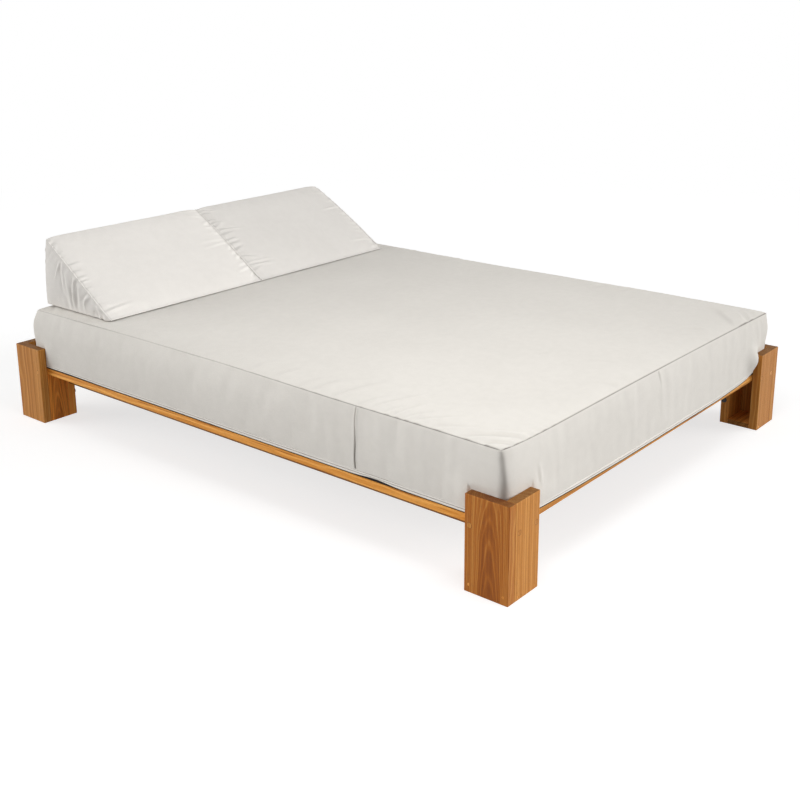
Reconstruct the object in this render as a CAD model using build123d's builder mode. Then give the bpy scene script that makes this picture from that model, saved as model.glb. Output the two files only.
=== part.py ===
# Double chaise lounger: a low teak platform on four box legs, a mattress and two wedge cushions.
# Millimetres. X is the width, Y the length with the head end at +Y, Z is up.
# The origin is on the floor, in the middle of the platform.
# Left means -X, the side that is on the left for someone who stands at the foot end.

import math
import os

from build123d import *

# The platform
platform_width = 1640
platform_length = 2110
leg_height = 270
leg_side = 135
leg_board = 29
base_board = 18
edge_ease = 1.5

# The deck of boards that the mattress lies on
deck_top = 197
deck_board = 22
end_deck_width = 130
slat_count = 12
slat_gap = 22

# The rails under the deck, and the post under their middle
rail_setback = 82
rail_width = 45
rail_depth = 55
foot_post_side = 60

# Wood plugs over the screws in the legs, and small wood pins
plug_radius = 7.5
plug_depth = 8
end_plug_margin = 13.5
end_plug_spacing = 75.5
pin_radius = 4
pin_length = 58
pin_margin = 14.5
side_pin_height = 22
base_pin_height = 9
base_pin_margin = 16
base_pin_spacing = 75

# Screws
screw_fit = 0.1
sink_angle = 82
leg_screw_radius = 2.5
leg_screw_head_radius = 4.5
leg_screw_head = 3
leg_screw_length = 50
rail_screw_radius = 3
rail_screw_head_radius = 6
rail_screw_length = 90
deck_screw_radius = 2.25
deck_screw_head_radius = 4.5
deck_screw_length = 45

# The bolt in each leg's inner board, and the round cap over its head
bolt_radius = 4
bolt_head_radius = 6.5
bolt_head = 5
bolt_height = 84.5
bolt_margin = 10.5
bolt_bite = 20
bolt_recess_radius = 8
bolt_recess_depth = 12
cap_radius = 10
cap_rim = 2.5
cap_dish_radius = 5
cap_dish_depth = 1
cap_peg = 6

# The mattress
cloth_gap = 0.3
mattress_side_gap = 1
mattress_head_gap = 31
mattress_corner = 28
mattress_draw = 5
mattress_bottom_seam = 208
mattress_top_seam = 397
mattress_crown = 9
crown_plateau = 90
band_belly = 3
band_wall = 4
bottom_panel = 2.5
pleat_from_corner = 497
pleat_width = 3
pleat_depth = 2

# The two wedge cushions
wedge_left_margin = 60
wedge_right_margin = 125
wedge_spacing = 1
wedge_depth = 367
wedge_height = 240
wedge_head_margin = 16
wedge_base_corner = 6
wedge_seam_corner = 2
wedge_end_crown = 3
wedge_middle_crown = 8
wedge_wall = 4
gusset_puff = 4
gusset_shoulder = 25

# Shares of a length, from 0 to 1
side_deck_screw_shares = (-0.85, -0.51, -0.17, 0.17, 0.51, 0.85)
end_deck_screw_shares = (-0.75, -0.25, 0.25, 0.75)
rail_screw_shares = (0.22, 0.78)
foot_screw_share = 0.3
screw_tip_share = 0.12
crown_section_shares = ((0, 0), (0.07, 0.4), (0.22, 0.72), (0.5, 0.93), (1, 1))
gusset_section_shares = ((0, 0), (0.3, 0.6), (1, 1))

half_width = platform_width / 2
half_length = platform_length / 2
inner_x = half_width - leg_board
inner_y = half_length - leg_board
leg_inner_x = half_width - leg_side
leg_inner_y = half_length - leg_side
pocket_width = leg_side - leg_board
deck_under = deck_top - deck_board
deck_middle = deck_top - deck_board / 2
end_deck_y = inner_y - end_deck_width
slat_width = (2 * end_deck_y - (slat_count + 1) * slat_gap) / slat_count
slat_pitch = slat_width + slat_gap
rail_under = deck_under - rail_depth
rail_outer = inner_x - rail_setback
rail_inner = rail_outer - rail_width
end_rail_inner = leg_inner_y - rail_width
rail_screw_heights = [rail_under + share * rail_depth for share in rail_screw_shares]
slat_bearing_x = (leg_inner_x + rail_inner) / 2
end_bearing_y = (end_deck_y + leg_inner_y) / 2

mattress_width = 2 * (inner_x - mattress_side_gap)
mattress_length = 2 * inner_y - mattress_side_gap - mattress_head_gap
mattress_middle = mattress_side_gap - inner_y + mattress_length / 2
mattress_head = mattress_middle + mattress_length / 2
mattress_bottom = deck_top + cloth_gap
foam_inset = mattress_draw + band_belly + band_wall
crown_top = mattress_top_seam + mattress_crown

wedge_bottom = crown_top + cloth_gap
wedge_back = mattress_head - wedge_head_margin
wedge_slope = math.atan2(wedge_height, wedge_depth)
wedges_width = mattress_width - wedge_left_margin - wedge_right_margin
wedge_width = (wedges_width - wedge_spacing) / 2
wedge_pitch = wedge_width + wedge_spacing
wedges_middle = (wedge_left_margin - wedge_right_margin) / 2

left = -1
right = 1
foot = -1
head = 1
corners = {
    "foot_left": (left, foot),
    "foot_right": (right, foot),
    "head_left": (left, head),
    "head_right": (right, head),
}


def facing(x, y, z, direction):
    """A plane at a point, which faces outwards along a direction."""
    return Plane(origin=(x, y, z), z_dir=direction)


# Where the fasteners go. Every piece that one of them passes through takes its hole from here.


def side_screw_places(side, end):
    """The plugged screw through the side board into the side deck board's edge."""
    y = end * (leg_inner_y + leg_board / 2)
    return [facing(side * half_width, y, deck_middle, (side, 0, 0))]


def end_screw_places(side, end):
    """The plugged screws through the end board into the side deck board's end."""
    near = leg_inner_x + end_plug_margin
    return [
        facing(side * x, end * half_length, deck_middle, (0, end, 0))
        for x in (near, near + end_plug_spacing)
    ]


def inner_pin_place(side, end):
    """The pin through the side board into the inner board's edge."""
    y = end * (leg_inner_y + pin_margin)
    return facing(side * half_width, y, side_pin_height, (side, 0, 0))


def corner_pin_place(side, end):
    """The pin through the side board into the end board's edge."""
    y = end * (half_length - pin_margin)
    return facing(side * half_width, y, side_pin_height, (side, 0, 0))


def base_pin_places(side, end):
    """The pins through the end board into the base board's edge."""
    near = leg_inner_x + base_pin_margin
    return [
        facing(side * x, end * half_length, base_pin_height, (0, end, 0))
        for x in (near, near + base_pin_spacing)
    ]


def bolt_place(side, end):
    """The bolt along the inner board into the side board. Its head faces the bed's middle."""
    y = end * (leg_inner_y + bolt_margin)
    return facing(side * leg_inner_x, y, bolt_height, (-side, 0, 0))


def rail_end_screw_places(side, end):
    """The screws from the leg's pocket through the inner board into the side rail's end."""
    x = side * (leg_inner_x + rail_outer) / 2
    y = end * (leg_inner_y + leg_board)
    return [facing(x, y, z, (0, end, 0)) for z in rail_screw_heights]


def rail_corner_screw_place(side, end):
    """The screw through the side rail into the end rail's end."""
    y = end * (leg_inner_y + end_rail_inner) / 2
    return facing(side * rail_outer, y, rail_under + rail_depth / 2, (side, 0, 0))


def centre_screw_places(end):
    """The screws through the end rail into the centre rail's end."""
    return [facing(0, end * leg_inner_y, z, (0, end, 0)) for z in rail_screw_heights]


def foot_screw_places():
    """The screws through the centre rail into the foot post."""
    y = foot_screw_share * foot_post_side
    return [facing(0, -y, deck_under, (0, 0, 1)), facing(0, y, deck_under, (0, 0, 1))]


def slat_y(number):
    """The middle of one slat, counted from the foot end."""
    return -end_deck_y + slat_gap + slat_width / 2 + number * slat_pitch


def slat_screw_places(number):
    """One screw into each of the three rails."""
    y = slat_y(number)
    return [facing(x, y, deck_top, (0, 0, 1)) for x in (-slat_bearing_x, 0, slat_bearing_x)]


def side_deck_screw_places(side):
    """The screws through a side deck board into its side rail."""
    x = side * (rail_outer + leg_inner_x) / 2
    return [facing(x, share * leg_inner_y, deck_top, (0, 0, 1)) for share in side_deck_screw_shares]


def end_deck_screw_places(end):
    """The screws through an end deck board into its end rail."""
    y = end * end_bearing_y
    return [facing(share * rail_inner, y, deck_top, (0, 0, 1)) for share in end_deck_screw_shares]


def board(x_range, y_range, z_range):
    """A plain board between two corners, with eased edges."""
    low_x, high_x = sorted(x_range)
    low_y, high_y = sorted(y_range)
    low_z, high_z = sorted(z_range)
    with BuildPart() as plain:
        with BuildSketch(Plane.XY.offset(low_z)):
            with Locations(((low_x + high_x) / 2, (low_y + high_y) / 2)):
                Rectangle(high_x - low_x, high_y - low_y)
        extrude(amount=high_z - low_z)
        fillet(plain.edges(), edge_ease)
    return plain.part


def side_leg_board(side, end):
    """The full-height board on the long side, which runs out to the corner."""
    with BuildPart() as side_board:
        add(
            board(
                (side * inner_x, side * half_width),
                (end * leg_inner_y, end * half_length),
                (0, leg_height),
            )
        )
        with Locations(*side_screw_places(side, end)):
            CounterBoreHole(leg_screw_radius + screw_fit, plug_radius, plug_depth + leg_screw_head)
        with Locations(inner_pin_place(side, end), corner_pin_place(side, end)):
            Hole(pin_radius)
        with Locations(bolt_place(side, end).offset(-pocket_width)):
            Hole(bolt_radius + screw_fit, bolt_bite + screw_fit)
    return side_board.part


def end_leg_board(side, end):
    """The full-height board on the foot or head end, which butts against the side board."""
    with BuildPart() as end_board:
        add(
            board(
                (side * leg_inner_x, side * inner_x),
                (end * inner_y, end * half_length),
                (0, leg_height),
            )
        )
        with Locations(*end_screw_places(side, end)):
            CounterBoreHole(leg_screw_radius + screw_fit, plug_radius, plug_depth + leg_screw_head)
        with Locations(*base_pin_places(side, end)):
            Hole(pin_radius)
        with Locations(corner_pin_place(side, end)):
            Hole(pin_radius, pin_length)
    return end_board.part


def inner_leg_board(side, end):
    """The board up to the deck that closes the leg towards the middle of the long side."""
    with BuildPart() as inner_board:
        add(
            board(
                (side * leg_inner_x, side * inner_x),
                (end * leg_inner_y, end * (leg_inner_y + leg_board)),
                (0, deck_under),
            )
        )
        with Locations(inner_pin_place(side, end)):
            Hole(pin_radius, pin_length)
        with Locations(*rail_end_screw_places(side, end)):
            CounterSinkHole(
                rail_screw_radius + screw_fit,
                rail_screw_head_radius + screw_fit,
                counter_sink_angle=sink_angle,
            )
        with Locations(bolt_place(side, end)):
            CounterBoreHole(bolt_radius + screw_fit, bolt_recess_radius, bolt_recess_depth)
    return inner_board.part


def base_leg_board(side, end):
    """The short board at the floor, between the inner board and the end board."""
    with BuildPart() as base:
        add(
            board(
                (side * leg_inner_x, side * inner_x),
                (end * (leg_inner_y + leg_board), end * inner_y),
                (0, base_board),
            )
        )
        with Locations(*base_pin_places(side, end)):
            Hole(pin_radius, pin_length)
    return base.part


def side_deck_board(side):
    """The long board whose edge shows between the legs. It runs over the legs' inner boards."""
    with BuildPart() as deck_edge:
        add(board((side * leg_inner_x, side * inner_x), (-inner_y, inner_y), (deck_under, deck_top)))
        for end in (foot, head):
            with Locations(*side_screw_places(side, end), *end_screw_places(side, end)):
                Hole(leg_screw_radius + screw_fit, plug_depth + leg_screw_length + screw_fit)
        with Locations(*side_deck_screw_places(side)):
            CounterSinkHole(
                deck_screw_radius + screw_fit,
                deck_screw_head_radius + screw_fit,
                counter_sink_angle=sink_angle,
            )
    return deck_edge.part


def cross_deck_board(y_range, screw_places):
    """A board across the deck, between the two side deck boards."""
    with BuildPart() as cross_board:
        add(board((-leg_inner_x, leg_inner_x), y_range, (deck_under, deck_top)))
        with Locations(*screw_places):
            CounterSinkHole(
                deck_screw_radius + screw_fit,
                deck_screw_head_radius + screw_fit,
                counter_sink_angle=sink_angle,
            )
    return cross_board.part


def side_rail(side):
    """The long rail, set back under the side deck board, between the legs' inner boards."""
    bearing = 0 if side == left else 2
    deck_places = side_deck_screw_places(side)
    deck_places += [slat_screw_places(number)[bearing] for number in range(slat_count)]
    with BuildPart() as rail:
        add(
            board(
                (side * rail_inner, side * rail_outer),
                (-leg_inner_y, leg_inner_y),
                (rail_under, deck_under),
            )
        )
        for end in (foot, head):
            with Locations(*rail_end_screw_places(side, end)):
                Hole(rail_screw_radius + screw_fit, rail_screw_length + screw_fit)
            with Locations(rail_corner_screw_place(side, end)):
                CounterSinkHole(
                    rail_screw_radius + screw_fit,
                    rail_screw_head_radius + screw_fit,
                    counter_sink_angle=sink_angle,
                )
        with Locations(*deck_places):
            Hole(deck_screw_radius + screw_fit, deck_screw_length + screw_fit)
    return rail.part


def end_rail(end):
    """The rail across the platform's end, between the side rails."""
    with BuildPart() as rail:
        add(
            board(
                (-rail_inner, rail_inner),
                (end * end_rail_inner, end * leg_inner_y),
                (rail_under, deck_under),
            )
        )
        with Locations(rail_corner_screw_place(left, end), rail_corner_screw_place(right, end)):
            Hole(rail_screw_radius + screw_fit, rail_screw_length + screw_fit)
        with Locations(*centre_screw_places(end)):
            CounterSinkHole(
                rail_screw_radius + screw_fit,
                rail_screw_head_radius + screw_fit,
                counter_sink_angle=sink_angle,
            )
        with Locations(*end_deck_screw_places(end)):
            Hole(deck_screw_radius + screw_fit, deck_screw_length + screw_fit)
    return rail.part


def middle_rail():
    """The long rail in the middle, between the end rails."""
    slat_places = [slat_screw_places(number)[1] for number in range(slat_count)]
    with BuildPart() as rail:
        add(
            board(
                (-rail_width / 2, rail_width / 2),
                (-end_rail_inner, end_rail_inner),
                (rail_under, deck_under),
            )
        )
        with Locations(*centre_screw_places(foot), *centre_screw_places(head)):
            Hole(rail_screw_radius + screw_fit, rail_screw_length + screw_fit)
        with Locations(*foot_screw_places()):
            CounterSinkHole(
                rail_screw_radius + screw_fit,
                rail_screw_head_radius + screw_fit,
                counter_sink_angle=sink_angle,
            )
        with Locations(*slat_places):
            Hole(deck_screw_radius + screw_fit, deck_screw_length + screw_fit)
    return rail.part


def foot_post():
    """The post under the middle of the centre rail."""
    half_side = foot_post_side / 2
    with BuildPart() as post:
        add(board((-half_side, half_side), (-half_side, half_side), (0, rail_under)))
        with Locations(*foot_screw_places()):
            Hole(rail_screw_radius + screw_fit, rail_screw_length + screw_fit)
    return post.part


def screw(radius, length, head_profile):
    """One screw along Z, its head's top at 0 and its point at -length."""
    shank_end = -length * (1 - screw_tip_share)
    with BuildPart() as fastener:
        with BuildSketch(Plane.XZ):
            with BuildLine():
                Polyline((0, 0), *head_profile, (radius, shank_end), (0, -length), close=True)
            make_face()
        revolve(axis=Axis.Z)
    return fastener.part


def flat_head_screw(radius, length, head_radius):
    """A countersunk screw, whose head matches the sunk holes."""
    head = (head_radius - radius) / math.tan(math.radians(sink_angle / 2))
    return screw(radius, length, [(head_radius, 0), (radius, -head)])


def pan_head_screw(radius, length, head_radius, head):
    """A screw with a round head that sits flat on the bottom of its hole."""
    return screw(radius, length, [(head_radius, 0), (head_radius, -head), (radius, -head)])


def wood_rod(radius, length):
    """A round plug or pin along Z, from 0 down to -length."""
    with BuildPart() as rod:
        with BuildSketch():
            Circle(radius)
        extrude(amount=-length)
    return rod.part


def leg_bolt():
    """A bolt along Z, its head's top at 0."""
    shank = pocket_width - bolt_recess_depth + bolt_bite
    with BuildPart() as bolt:
        with BuildSketch():
            RegularPolygon(bolt_head_radius, 6)
        extrude(amount=-bolt_head)
        with BuildSketch(Plane.XY.offset(-bolt_head)):
            Circle(bolt_radius)
        extrude(amount=-shank)
    return bolt.part


def bolt_cap():
    """A press-in cap: a round rim with a dished middle, and a peg behind it."""
    with BuildPart() as cap:
        with BuildSketch():
            Circle(cap_radius)
        extrude(amount=cap_rim)
        fillet(cap.faces().sort_by(Axis.Z)[-1].edges(), cap_rim / 2)
        with BuildSketch(Plane.XY.offset(cap_rim)):
            Circle(cap_dish_radius)
        extrude(amount=-cap_dish_depth, mode=Mode.SUBTRACT)
        with BuildSketch():
            Circle(bolt_recess_radius)
        extrude(amount=-cap_peg)
    return cap.part


def group(piece, places):
    """Copies of one piece as separate solids, each with its Z along a place's normal."""
    with BuildPart() as copies:
        with Locations(*places):
            add(piece)
    return copies.part


def leg_places(place_function):
    """The places of one kind of fastener in all four legs."""
    places = []
    for side, end in corners.values():
        found = place_function(side, end)
        places += found if isinstance(found, list) else [found]
    return places


def mattress_outline(height, inset):
    """The mattress seen from above: four sides that pull in as shallow arcs, round corners."""
    x = mattress_width / 2 - inset
    y = mattress_length / 2 - inset
    pulled_x = x - mattress_draw
    pulled_y = y - mattress_draw
    with BuildSketch(Plane.XY.offset(height)) as outline:
        with BuildLine():
            ThreePointArc((-x, -y), (0, -pulled_y), (x, -y))
            ThreePointArc((x, -y), (pulled_x, 0), (x, y))
            ThreePointArc((x, y), (0, pulled_y), (-x, y))
            ThreePointArc((-x, y), (-pulled_x, 0), (-x, -y))
        make_face()
        fillet(outline.vertices(), mattress_corner)
    return outline.sketch.moved(Location((0, mattress_middle, 0)))


def mattress_core():
    """The foam block, plain and square, from the bottom panel to the top panel."""
    base = mattress_bottom + bottom_panel
    with BuildPart() as core:
        with BuildSketch(Plane.XY.offset(base)):
            with Locations((0, mattress_middle)):
                RectangleRounded(
                    mattress_width - 2 * foam_inset,
                    mattress_length - 2 * foam_inset,
                    mattress_corner,
                )
        extrude(amount=mattress_top_seam - base)
    return core.part


def mattress_top():
    """The wadded top panel, which rises from the top seam to its crown."""
    with BuildPart() as top_panel:
        loft(
            [
                mattress_outline(
                    mattress_top_seam + height_share * mattress_crown,
                    band_belly + inset_share * crown_plateau,
                )
                for inset_share, height_share in crown_section_shares
            ],
            ruled=True,
        )
    return top_panel.part


def mattress_band(core):
    """The side band between the two seams, with the upright pleat in the left side."""
    middle = (mattress_bottom_seam + mattress_top_seam) / 2
    pleat_y = mattress_middle - mattress_length / 2 + pleat_from_corner
    with BuildPart() as band:
        loft(
            [
                mattress_outline(mattress_bottom_seam, band_belly),
                mattress_outline(middle, 0),
                mattress_outline(mattress_top_seam, band_belly),
            ]
        )
        add(core, mode=Mode.SUBTRACT)
        with BuildSketch(Plane.XY.offset(mattress_bottom_seam)):
            with Locations((-mattress_width / 2, pleat_y)):
                Rectangle(2 * (mattress_draw + pleat_depth), pleat_width)
        extrude(amount=mattress_top_seam - mattress_bottom_seam, mode=Mode.SUBTRACT)
    return band.part


def mattress_zip_border(core):
    """The narrow zip border between the bottom panel and the bottom seam."""
    base = mattress_bottom + bottom_panel
    with BuildPart() as border:
        extrude(mattress_outline(base, band_belly), amount=mattress_bottom_seam - base)
        add(core, mode=Mode.SUBTRACT)
    return border.part


def mattress_base():
    """The flat bottom panel, which lies on the deck."""
    with BuildPart() as base_panel:
        extrude(mattress_outline(mattress_bottom, band_belly), amount=bottom_panel)
    return base_panel.part


def round_wedge_corners(outline):
    """Small rounds at the two ends of the slope and a larger one at the back of the base."""
    fillet(outline.vertices().sort_by(Axis.Y)[:2].sort_by(Axis.X)[-1], wedge_base_corner)
    fillet(outline.vertices().sort_by(Axis.Y)[-1], wedge_seam_corner)
    fillet(outline.vertices().sort_by(Axis.X)[0], wedge_seam_corner)


def wedge_outline(x, inset, crown):
    """The wedge seen from its end, at x: flat base, with a slope and a back that are crowned."""
    front = wedge_back - wedge_depth + inset / math.tan(wedge_slope / 2)
    back = wedge_back - inset
    base = wedge_bottom + inset
    top = wedge_bottom + wedge_height - inset / math.tan((math.pi / 2 - wedge_slope) / 2)
    middle_y = (front + back) / 2 - crown * math.sin(wedge_slope)
    middle_z = (base + top) / 2 + crown * math.cos(wedge_slope)
    with BuildSketch(Plane.YZ.offset(x)) as outline:
        with BuildLine():
            Line((front, base), (back, base))
            ThreePointArc((back, base), (back + crown / 2, (base + top) / 2), (back, top))
            ThreePointArc((back, top), (middle_y, middle_z), (front, base))
        make_face()
        round_wedge_corners(outline)
    return outline.sketch


def wedge_core(low_x, high_x):
    """The foam wedge, with plain faces."""
    slope_front = wedge_back - wedge_depth + wedge_wall / math.tan(wedge_slope / 2)
    slope_top = wedge_bottom + wedge_height
    slope_top -= wedge_wall / math.tan((math.pi / 2 - wedge_slope) / 2)
    back = wedge_back - wedge_wall
    base = wedge_bottom + wedge_wall
    with BuildPart() as core:
        with BuildSketch(Plane.YZ.offset(low_x)) as outline:
            with BuildLine():
                Polyline((slope_front, base), (back, base), (back, slope_top), close=True)
            make_face()
            round_wedge_corners(outline)
        extrude(amount=high_x - low_x)
    return core.part


def wedge_sleeve(low_x, high_x, core):
    """The cloth round the slope, the back and the base, fullest in the middle."""
    with BuildPart() as sleeve:
        loft(
            [
                wedge_outline(low_x, 0, wedge_end_crown),
                wedge_outline((low_x + high_x) / 2, 0, wedge_middle_crown),
                wedge_outline(high_x, 0, wedge_end_crown),
            ]
        )
        add(core, mode=Mode.SUBTRACT)
    return sleeve.part


def wedge_gusset(seam_x, side):
    """The three-cornered end panel, which puffs out a little past its seam."""
    with BuildPart() as gusset:
        loft(
            [
                wedge_outline(
                    seam_x + side * puff_share * gusset_puff,
                    inset_share * gusset_shoulder,
                    wedge_end_crown,
                )
                for inset_share, puff_share in gusset_section_shares
            ],
            ruled=True,
        )
    return gusset.part


def make_legs():
    """The boards of the four legs, each under its own name."""
    pieces = {}
    for name, (side, end) in corners.items():
        pieces[f"{name}_side_board"] = side_leg_board(side, end)
        pieces[f"{name}_end_board"] = end_leg_board(side, end)
        pieces[f"{name}_inner_board"] = inner_leg_board(side, end)
        pieces[f"{name}_base_board"] = base_leg_board(side, end)
    return pieces


def make_deck():
    """The boards that the mattress lies on."""
    pieces = {}
    for name, side in (("left", left), ("right", right)):
        pieces[f"{name}_deck_board"] = side_deck_board(side)
    for name, end in (("foot", foot), ("head", head)):
        y_range = (end * end_deck_y, end * inner_y)
        pieces[f"{name}_deck_board"] = cross_deck_board(y_range, end_deck_screw_places(end))
    for number in range(slat_count):
        middle = slat_y(number)
        y_range = (middle - slat_width / 2, middle + slat_width / 2)
        places = slat_screw_places(number)
        pieces[f"deck_slat_{number + 1:02d}"] = cross_deck_board(y_range, places)
    return pieces


def make_rails():
    """The rails under the deck and the post in the middle."""
    pieces = {}
    for name, side in (("left", left), ("right", right)):
        pieces[f"{name}_side_rail"] = side_rail(side)
    for name, end in (("foot", foot), ("head", head)):
        pieces[f"{name}_end_rail"] = end_rail(end)
    pieces["centre_rail"] = middle_rail()
    pieces["centre_foot"] = foot_post()
    return pieces


def make_fasteners():
    """Screws, bolts, plugs, pins and caps: one group for each kind."""
    screw_places = leg_places(side_screw_places) + leg_places(end_screw_places)
    pin_places = leg_places(inner_pin_place) + leg_places(corner_pin_place)
    pin_places += leg_places(base_pin_places)
    bolt_places = leg_places(bolt_place)
    rail_places = leg_places(rail_end_screw_places) + leg_places(rail_corner_screw_place)
    rail_places += centre_screw_places(foot) + centre_screw_places(head) + foot_screw_places()
    deck_places = side_deck_screw_places(left) + side_deck_screw_places(right)
    deck_places += end_deck_screw_places(foot) + end_deck_screw_places(head)
    for number in range(slat_count):
        deck_places += slat_screw_places(number)
    leg_screw = pan_head_screw(
        leg_screw_radius, leg_screw_length, leg_screw_head_radius, leg_screw_head
    )
    rail_screw = flat_head_screw(rail_screw_radius, rail_screw_length, rail_screw_head_radius)
    deck_screw = flat_head_screw(deck_screw_radius, deck_screw_length, deck_screw_head_radius)
    return {
        "leg_plugs": group(wood_rod(plug_radius, plug_depth), screw_places),
        "leg_screws": group(leg_screw, [place.offset(-plug_depth) for place in screw_places]),
        "leg_pins": group(wood_rod(pin_radius, pin_length), pin_places),
        "leg_bolts": group(
            leg_bolt(), [place.offset(bolt_head - bolt_recess_depth) for place in bolt_places]
        ),
        "bolt_caps": group(bolt_cap(), bolt_places),
        "rail_screws": group(rail_screw, rail_places),
        "deck_screws": group(deck_screw, deck_places),
    }


def make_mattress():
    """The mattress, as foam and the panels of its cover."""
    core = mattress_core()
    return {
        "mattress_foam": core,
        "mattress_top_panel": mattress_top(),
        "mattress_side_band": mattress_band(core),
        "mattress_zip_border": mattress_zip_border(core),
        "mattress_bottom_panel": mattress_base(),
    }


def make_wedges():
    """The two wedge cushions side by side at the head end."""
    pieces = {}
    for name, side in (("left", left), ("right", right)):
        middle = wedges_middle + side * wedge_pitch / 2
        low_seam = middle - wedge_width / 2 + gusset_puff
        high_seam = middle + wedge_width / 2 - gusset_puff
        core = wedge_core(low_seam, high_seam)
        pieces[f"{name}_wedge_foam"] = core
        pieces[f"{name}_wedge_sleeve"] = wedge_sleeve(low_seam, high_seam, core)
        pieces[f"{name}_wedge_left_gusset"] = wedge_gusset(low_seam, left)
        pieces[f"{name}_wedge_right_gusset"] = wedge_gusset(high_seam, right)
    return pieces


os.makedirs("parts", exist_ok=True)

for make_pieces in (make_legs, make_deck, make_rails, make_fasteners, make_mattress, make_wedges):
    for name, piece in make_pieces().items():
        piece.label = name
        export_step(piece, f"parts/{name}.step")
        print(name, len(piece.solids()), "solids")
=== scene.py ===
import math
import random

import bmesh
import bpy
import numpy as np
from mathutils import Matrix, Vector, kdtree, noise


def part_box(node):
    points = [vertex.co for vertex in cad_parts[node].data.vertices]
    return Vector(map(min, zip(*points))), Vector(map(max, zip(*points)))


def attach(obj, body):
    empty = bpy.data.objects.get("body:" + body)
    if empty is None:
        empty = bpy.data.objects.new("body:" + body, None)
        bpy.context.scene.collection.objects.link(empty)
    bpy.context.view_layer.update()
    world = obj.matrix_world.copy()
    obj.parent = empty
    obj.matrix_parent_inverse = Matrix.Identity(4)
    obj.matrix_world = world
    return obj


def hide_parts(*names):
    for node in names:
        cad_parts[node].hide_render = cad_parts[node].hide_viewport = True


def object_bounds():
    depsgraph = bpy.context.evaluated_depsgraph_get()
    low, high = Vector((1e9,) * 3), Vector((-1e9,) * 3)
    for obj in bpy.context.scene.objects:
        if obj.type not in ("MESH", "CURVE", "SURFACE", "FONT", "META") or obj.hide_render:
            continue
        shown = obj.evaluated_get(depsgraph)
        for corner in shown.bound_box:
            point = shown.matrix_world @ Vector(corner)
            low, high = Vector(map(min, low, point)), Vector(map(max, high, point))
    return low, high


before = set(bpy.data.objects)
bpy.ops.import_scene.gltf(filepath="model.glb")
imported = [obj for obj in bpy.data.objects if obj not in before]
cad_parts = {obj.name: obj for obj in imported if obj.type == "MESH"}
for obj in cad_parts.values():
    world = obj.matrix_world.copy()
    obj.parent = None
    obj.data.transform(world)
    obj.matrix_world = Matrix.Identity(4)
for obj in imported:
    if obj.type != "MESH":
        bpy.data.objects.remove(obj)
cadLow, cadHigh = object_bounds()
scene = bpy.context.scene
scene.view_settings.view_transform = "Standard"
mm = 0.001
print("frame loaded:", len(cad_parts), "nodes")


# Shader writing

def operator(operation, swapped=False):
    # A Python operator that adds a Math node
    def build(wire, other=0.0):
        first, second = (other, wire) if swapped else (wire, other)
        return wire.finish.add("ShaderNodeMath", {"operation": operation}, {0: first, 1: second})

    return build


class Wire:
    # One output socket. Sums of wires and numbers add the Math nodes that they need.
    __add__ = operator("ADD")
    __radd__ = operator("ADD", True)
    __sub__ = operator("SUBTRACT")
    __rsub__ = operator("SUBTRACT", True)
    __mul__ = operator("MULTIPLY")
    __rmul__ = operator("MULTIPLY", True)
    __truediv__ = operator("DIVIDE")
    __pow__ = operator("POWER")
    __abs__ = operator("ABSOLUTE")
    sine = operator("SINE")

    def __init__(self, finish, socket):
        self.finish = finish
        self.socket = socket

    def between(self, low, high):
        # 0 below low, 1 above high, smooth in between
        return self.finish.add(
            "ShaderNodeMapRange",
            {"interpolation_type": "SMOOTHSTEP"},
            {"Value": self, "From Min": low, "From Max": high},
        )


class Finish:
    # The nodes of one material, or of the world, while they are being made
    def __init__(self, owner):
        self.owner = owner
        owner.use_nodes = True
        self.tree = owner.node_tree
        self.tree.nodes.clear()

    def add(self, kind, settings=None, inputs=None, output=0):
        node = self.tree.nodes.new(kind)
        for key, value in (settings or {}).items():
            if key == "stops":
                self.fillRamp(node.color_ramp, value)
            else:
                setattr(node, key, value)
        for key, value in (inputs or {}).items():
            if isinstance(value, Wire):
                self.tree.links.new(value.socket, node.inputs[key])
            else:
                node.inputs[key].default_value = value
        return Wire(self, node.outputs[output]) if node.outputs else None

    def fillRamp(self, ramp, stops):
        while len(ramp.elements) < len(stops):
            ramp.elements.new(0.5)
        for element, (position, colour) in zip(ramp.elements, stops):
            element.position = position
            element.color = (*colour, 1)

    def coordinate(self, output="Object"):
        return self.add("ShaderNodeTexCoord", output=output)

    def split(self, vector):
        return [self.add("ShaderNodeSeparateXYZ", {}, {0: vector}, axis) for axis in range(3)]

    def join(self, x, y, z):
        return self.add("ShaderNodeCombineXYZ", {}, {0: x, 1: y, 2: z})

    def noise(self, vector, scale, detail=2.0, roughness=0.5):
        inputs = {"Vector": vector, "Scale": scale, "Detail": detail, "Roughness": roughness}
        return self.add("ShaderNodeTexNoise", {}, inputs)

    def blend(self, factor, first, second, way="MIX"):
        # Colours go through Mix: its colour sockets are 6 and 7, and its colour output is 2
        settings = {"data_type": "RGBA", "blend_type": way}
        return self.add("ShaderNodeMix", settings, {0: factor, 6: first, 7: second}, 2)

    def ramp(self, factor, stops):
        return self.add("ShaderNodeValToRGB", {"stops": stops}, {0: factor})

    def surface(self, colour, roughness, height, relief, **fixed):
        bump = self.add("ShaderNodeBump", {}, {"Strength": 1.0, "Distance": relief, "Height": height})
        inputs = {"Base Color": colour, "Roughness": roughness, "Normal": bump}
        for socket, value in fixed.items():
            inputs[socket.replace("_", " ")] = value
        shader = self.add("ShaderNodeBsdfPrincipled", {}, inputs)
        self.add("ShaderNodeOutputMaterial", {}, {"Surface": shader})
        return self.owner


def newFinish(name):
    return Finish(bpy.data.materials.new(name))


# Teak

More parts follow.
